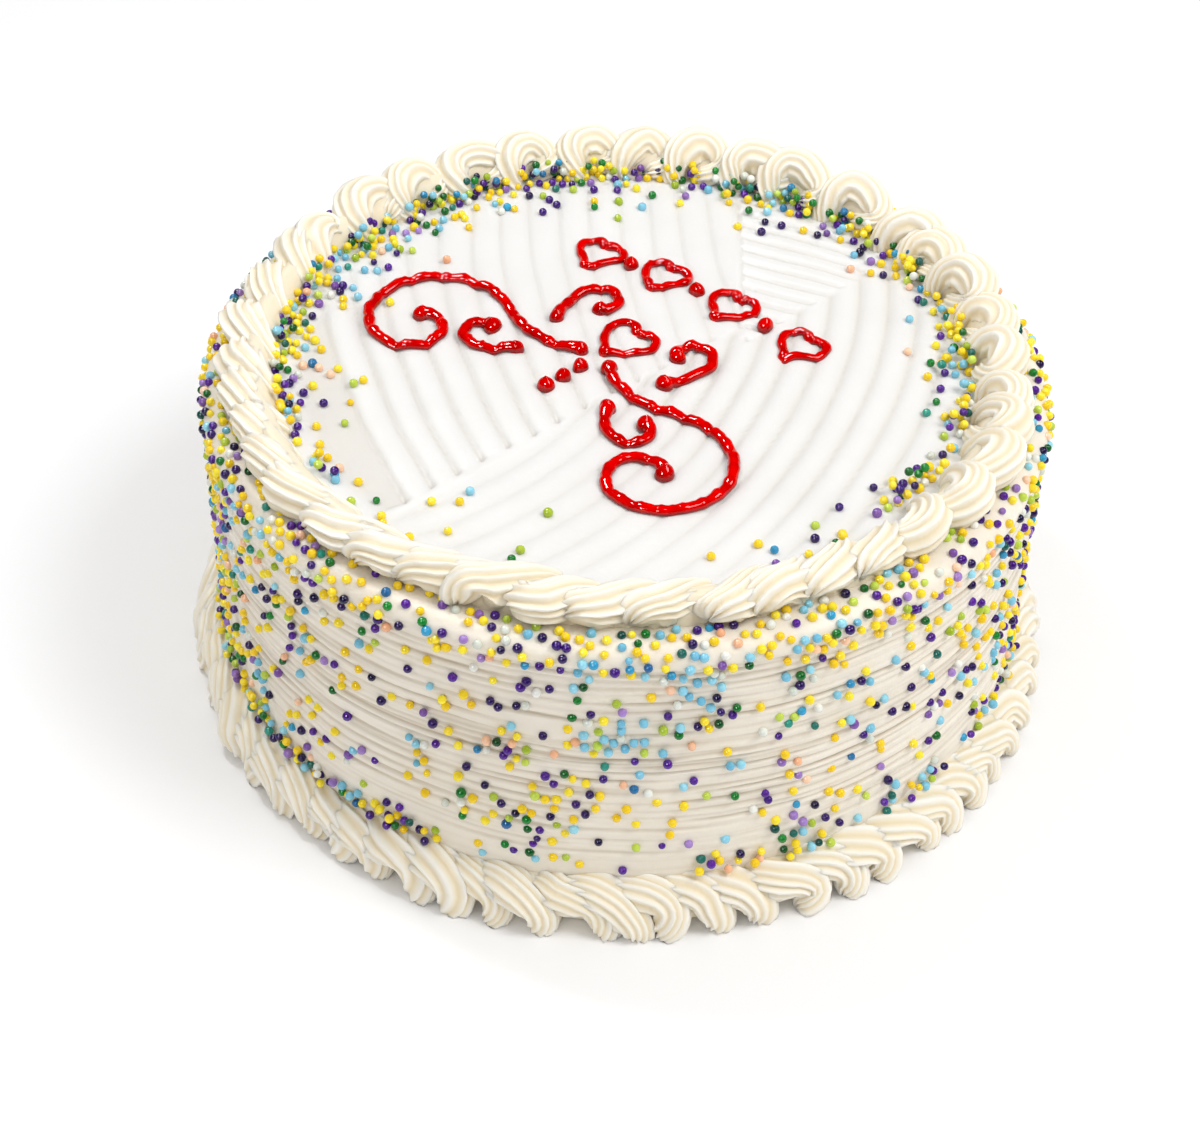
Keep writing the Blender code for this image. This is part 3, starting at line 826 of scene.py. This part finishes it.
# Single pearls on the top: x, y and colour.
LONE_PEARLS = (
    (-18, -64, "lime"), (-24, -78, "lime"), (22, -78, "yellow"), (-42, -72, "yellow"), (-40, -61, "yellow"),
    (-47, -61, "yellow"), (-39, -56, "dark"), (31, 67, "yellow"), (50, 65, "yellow"), (54, 63, "dark"),
    (39, 69, "dark"), (-4, 78, "lime"), (-4, 69, "lime"), (-11, 74, "green"), (3, 75, "sky"),
    (-26, 70, "purple"), (76, 8, "peach"), (79, -18, "teal"), (63, -50, "dark"), (54, -58, "purple"),
)
# Pearls that lie behind the foot border: first and last angle, and how many.
GROOVE_PEARLS = (
    (-160, -114, 460), (-79, -70, 34), (-67, -60, 22), (-52, -40, 18), (-35, 60, 110), (75, 130, 70),
    (140, 200, 110),
)


class Pearls:
    """Pearls laid so that none is inside another or on the red lines."""

    def __init__(self, seed, keep_off):
        self.draw = np.random.default_rng(seed)
        self.keep_off = keep_off
        self.places = np.zeros((0, 3))
        self.by_colour = {name: [] for name in PEARL_COLOURS}
        self.names = list(PEARL_COLOURS)
        self.shares = np.array([row[0] for row in PEARL_COLOURS.values()])

    def add(self, place, colours=None):
        """Adds a pearl in one of these colours, or in any, if there is room. Says whether it did."""
        if len(self.places) and np.linalg.norm(self.places - place, axis=1).min() < PEARL_SPACING_MM:
            return False
        if np.linalg.norm(self.keep_off - place[:2], axis=1).min() < LINE_CLEARANCE_MM:
            return False
        self.places = np.vstack([self.places, place])
        names = colours or self.names
        shares = None if colours else self.shares / self.shares.sum()
        self.by_colour[self.draw.choice(names, p=shares)].append(place)
        return True


def band(angle, column):
    """One of PEARL_BANDS's numbers at an angle in degrees."""
    degrees = [row[0] for row in PEARL_BANDS]
    return np.interp((angle + 180) % 360 - 180, degrees, [row[column] for row in PEARL_BANDS])


def border_foot(degrees):
    """Where the top border's shells meet the top: a distance from the middle."""
    around = (-180, -150, -120, -90, -60, -40, -20, 0, 30, 150, 180)
    away = (93.5, 91, 90, 89.5, 88, 88.5, 90, 91, 92.5, 93.5, 93.5)
    return np.interp((degrees + 180) % 360 - 180, around, away)


def wall_place(angle, climb, sunk):
    """A pearl's middle on the wall, then on the round edge over it, then on the flat ring inside that."""
    edge_foot = BODY_HEIGHT - EDGE_ROUND_MM
    if climb < edge_foot:
        return polar(wall_radius(climb) + sunk, angle, np.array(climb))
    turn = min((climb - edge_foot) / EDGE_ROUND_MM, math.pi / 2)
    reach = EDGE_ROUND_MM + sunk
    inward = climb - edge_foot - turn * EDGE_ROUND_MM
    return polar(np.array(WALL_RADIUS - EDGE_ROUND_MM - inward + reach * math.cos(turn)), angle,
                 np.array(edge_foot + reach * math.sin(turn)))


def drop_on_top(pearls, angle, radius, layers, colours=None):
    """Lays a pearl on the top, or on the pearls that lie there already."""
    x, y = radius * math.cos(angle), radius * math.sin(angle)
    ground = BODY_HEIGHT + float(top_relief(np.array([x]), np.array([y]))[0][0])
    for layer in range(layers):
        if pearls.add(np.array([x, y, ground + PEARL_RADIUS_MM * (0.65 + 1.65 * layer)]), colours):
            return


def scatter_on_top(pearls):
    draw = pearls.draw
    for degrees, count in TOP_PILES:
        for _ in range(count):
            around = degrees + 2.6 * draw.normal()
            inward = draw.exponential(2.2)
            drop_on_top(pearls, math.radians(around), border_foot(around) + 1.5 - inward, 3, PILE_COLOURS)
    for degree in np.arange(-180, 180, 0.5):
        for _ in range(draw.poisson(0.5 * band(degree, 1))):
            angle = math.radians(degree + draw.uniform(0, 0.5))
            inward = draw.exponential(band(degree, 2))
            if inward < 34:
                drop_on_top(pearls, angle, border_foot(degree) + 1.5 - inward, 2 if inward < 4 else 1)
    for x, y, colour in LONE_PEARLS:
        drop_on_top(pearls, math.atan2(y, x), math.hypot(x, y), 1, [colour])


def scatter_on_wall(pearls):
    draw = pearls.draw
    for angle, climb, wide, high, count, colours in WALL_CLUSTERS:
        for _ in range(count):
            degrees = angle + draw.normal() * wide
            height = min(climb + draw.normal() * high, 91)
            if height > GROOVE_MM + 1:
                pearls.add(wall_place(math.radians(degrees), height, 0.35 * PEARL_RADIUS_MM), list(colours))
    for degree in np.arange(-180, 180, 1.0):
        from_left_front = abs((degree + 285) % 360 - 180)
        highest = 91.5 + 7.0 * smooth((140 - from_left_front) / 12) + 4.0 * hump(degree, -25, 32)
        for _ in range(draw.poisson(0.09 * band(degree, 4) * (highest - LIP_PEARLS_MM))):
            climb = draw.uniform(LIP_PEARLS_MM, highest)
            angle = math.radians(degree + draw.uniform(0, 1.0))
            pearls.add(wall_place(angle, climb, draw.uniform(0.25, 0.55) * PEARL_RADIUS_MM))
        square_cm = math.radians(1.0) * WALL_RADIUS * (85 - GROOVE_MM) / 100
        for _ in range(draw.poisson(square_cm * band(degree, 3) * 1.15)):
            climb = draw.uniform(GROOVE_MM, 86)
            if draw.uniform() < 0.75 + 0.25 * smooth((climb - 50) / 30):
                angle = math.radians(degree + draw.uniform(0, 1.0))
                pearls.add(wall_place(angle, climb, draw.uniform(0.1, 0.55) * PEARL_RADIUS_MM))


def scatter_in_groove(pearls):
    """Pearls that rolled down the wall and lie behind the foot border's shells."""
    draw = pearls.draw
    for first, last, count in GROOVE_PEARLS:
        for _ in range(count):
            degrees = draw.uniform(first, last)
            pearls.add(polar(np.array(WALL_RADIUS + 1.2 + draw.uniform(0, 1.8)), math.radians(degrees),
                             np.array(draw.uniform(15.5, 20.0))))


def make_pearls(keep_off):
    """One piece for each colour, its pearls a little uneven in size and tone."""
    pearls = Pearls(SEED + 12, keep_off)
    scatter_on_top(pearls)
    scatter_on_wall(pearls)
    scatter_in_groove(pearls)
    ball = bmesh.new()
    bmesh.ops.create_icosphere(ball, subdivisions=2, radius=PEARL_RADIUS_MM)
    corners = np.array([vertex.co for vertex in ball.verts])
    triangles = np.array([[vertex.index for vertex in face.verts] for face in ball.faces])
    ball.free()
    for name, (_, slot, dark, light) in PEARL_COLOURS.items():
        places = np.array(pearls.by_colour[name])
        sizes = 1 + 0.07 * pearls.draw.normal(size=len(places))
        tones = np.repeat(pearls.draw.uniform(0, 1, len(places)), len(corners))
        points = places[:, None, :] + corners[None] * sizes[:, None, None]
        faces = triangles[None] + (np.arange(len(places)) * len(corners))[:, None, None]
        make_piece(f"pearls_{name}", points.reshape(-1, 3), faces.reshape(-1, 3).tolist(),
                   pearl_coating(f"{name}_pearls", dark, light), [], tones)


# ---- stage --------------------

FLOOR_SIZE = 6.0
FLOOR_DROP = 0.0002                             # the floor lies this far under the cake
LAMPS = (                                       # place, target, side, power and whether it is gloss_only
    ("overhead", (0.76, -0.22, 1.20), (0, 0, 0.05), 0.56, 9.0, False),
    ("sparkle", (-0.30, 0.22, 0.95), (0, 0, 0.09), 0.07, 1.6, False),
    ("gloss", (-0.34, 0.30, 0.90), (0, 0, 0.09), 0.30, 10.0, True),
    ("front_gloss", (-0.42, -0.80, 0.85), (0, 0, 0.05), 0.32, 12.0, True),
)


def make_stage():
    bpy.ops.mesh.primitive_plane_add(size=FLOOR_SIZE, location=(0, 0, -FLOOR_DROP))
    floor = bpy.context.object
    floor.name = "floor"
    material, _, _ = new_material("pale_floor", (0.90, 0.90, 0.91), 0.6)
    floor.data.materials.append(material)


def make_world():
    """White light from all round, which glossy surfaces don't mirror, so that dark colours stay deep."""
    world = bpy.data.worlds.new("studio")
    bpy.context.scene.world = world
    world.use_nodes = True
    background = world.node_tree.nodes["Background"]
    background.inputs["Color"].default_value = (1, 1, 1, 1)
    background.inputs["Strength"].default_value = 0.775
    world.cycles_visibility.glossy = False


def add_light(name, place, target, side, power, gloss_only):
    """A square lamp. One that is gloss_only makes highlights and adds no other light."""
    light = bpy.data.lights.new(name, "AREA")
    light.shape = "SQUARE"
    light.size = side
    light.energy = power
    lamp = bpy.data.objects.new(name, light)
    bpy.context.scene.collection.objects.link(lamp)
    lamp.visible_diffuse = not gloss_only
    direction = np.array(target) - np.array(place)
    direction /= np.linalg.norm(direction)
    across = np.cross(direction, (0.0, 0.0, 1.0))
    across /= np.linalg.norm(across)
    up = np.cross(across, direction)
    rows = [[across[i], up[i], -direction[i], place[i]] for i in range(3)]
    lamp.matrix_world = Matrix(rows + [[0, 0, 0, 1]])


CAMERA_FOCAL_MM = 64.12
CAMERA_DISTANCE = 5.624 * WALL_RADIUS * MM
CAMERA_ELEVATION = math.radians(43.25)
CAMERA_TILT, CAMERA_PAN, CAMERA_ROLL = math.radians(1.074), math.radians(-0.513), math.radians(2.023)


def make_camera():
    camera_data = bpy.data.cameras.new("camera")
    camera_data.lens = CAMERA_FOCAL_MM
    camera_data.sensor_width = 36
    camera_data.sensor_fit = "HORIZONTAL"
    camera = bpy.data.objects.new("camera", camera_data)
    bpy.context.scene.collection.objects.link(camera)
    place = Matrix.Translation((
        0, -CAMERA_DISTANCE * math.cos(CAMERA_ELEVATION), CAMERA_DISTANCE * math.sin(CAMERA_ELEVATION),
    ))
    look = Matrix.Rotation(math.pi / 2 - CAMERA_ELEVATION, 4, "X")
    tilt = Matrix.Rotation(CAMERA_TILT, 4, "X")
    pan = Matrix.Rotation(-CAMERA_PAN, 4, "Y")
    roll = Matrix.Rotation(CAMERA_ROLL, 4, "Z")
    camera.matrix_world = place @ look @ tilt @ pan @ roll
    bpy.context.scene.camera = camera


# ---- the scene --------------------

# One buttercream in three copies. The wall's cream is warmer, with less blue, than the shells': painted warm
# shade for the wall, which the lamps light less.
shaded_wall_cream = buttercream("combed_wall_cream", (0.845, 0.785, 0.68), (0.56, 0.46, 0.33), 1.2, 60.0)
# The top's cream is darker and greyer than the shells': painted shade that offsets the stronger light on the
# top.
smooth_cream = buttercream("smooth_top_cream", (0.768, 0.762, 0.75), (0.62, 0.585, 0.525), 1.3, 60.0)
piped_cream = buttercream("piped_buttercream", (0.885, 0.855, 0.785), (0.80, 0.685, 0.46), 2.0, 90.0)

make_body(shaded_wall_cream)
make_top(smooth_cream)
make_top_border(piped_cream)
make_foot_border(piped_cream)
line_points = make_ornament(red_gel())
make_pearls(line_points)

make_world()
make_stage()
for lamp_settings in LAMPS:
    add_light(*lamp_settings)
make_camera()
bpy.context.scene.view_settings.view_transform = "Standard"
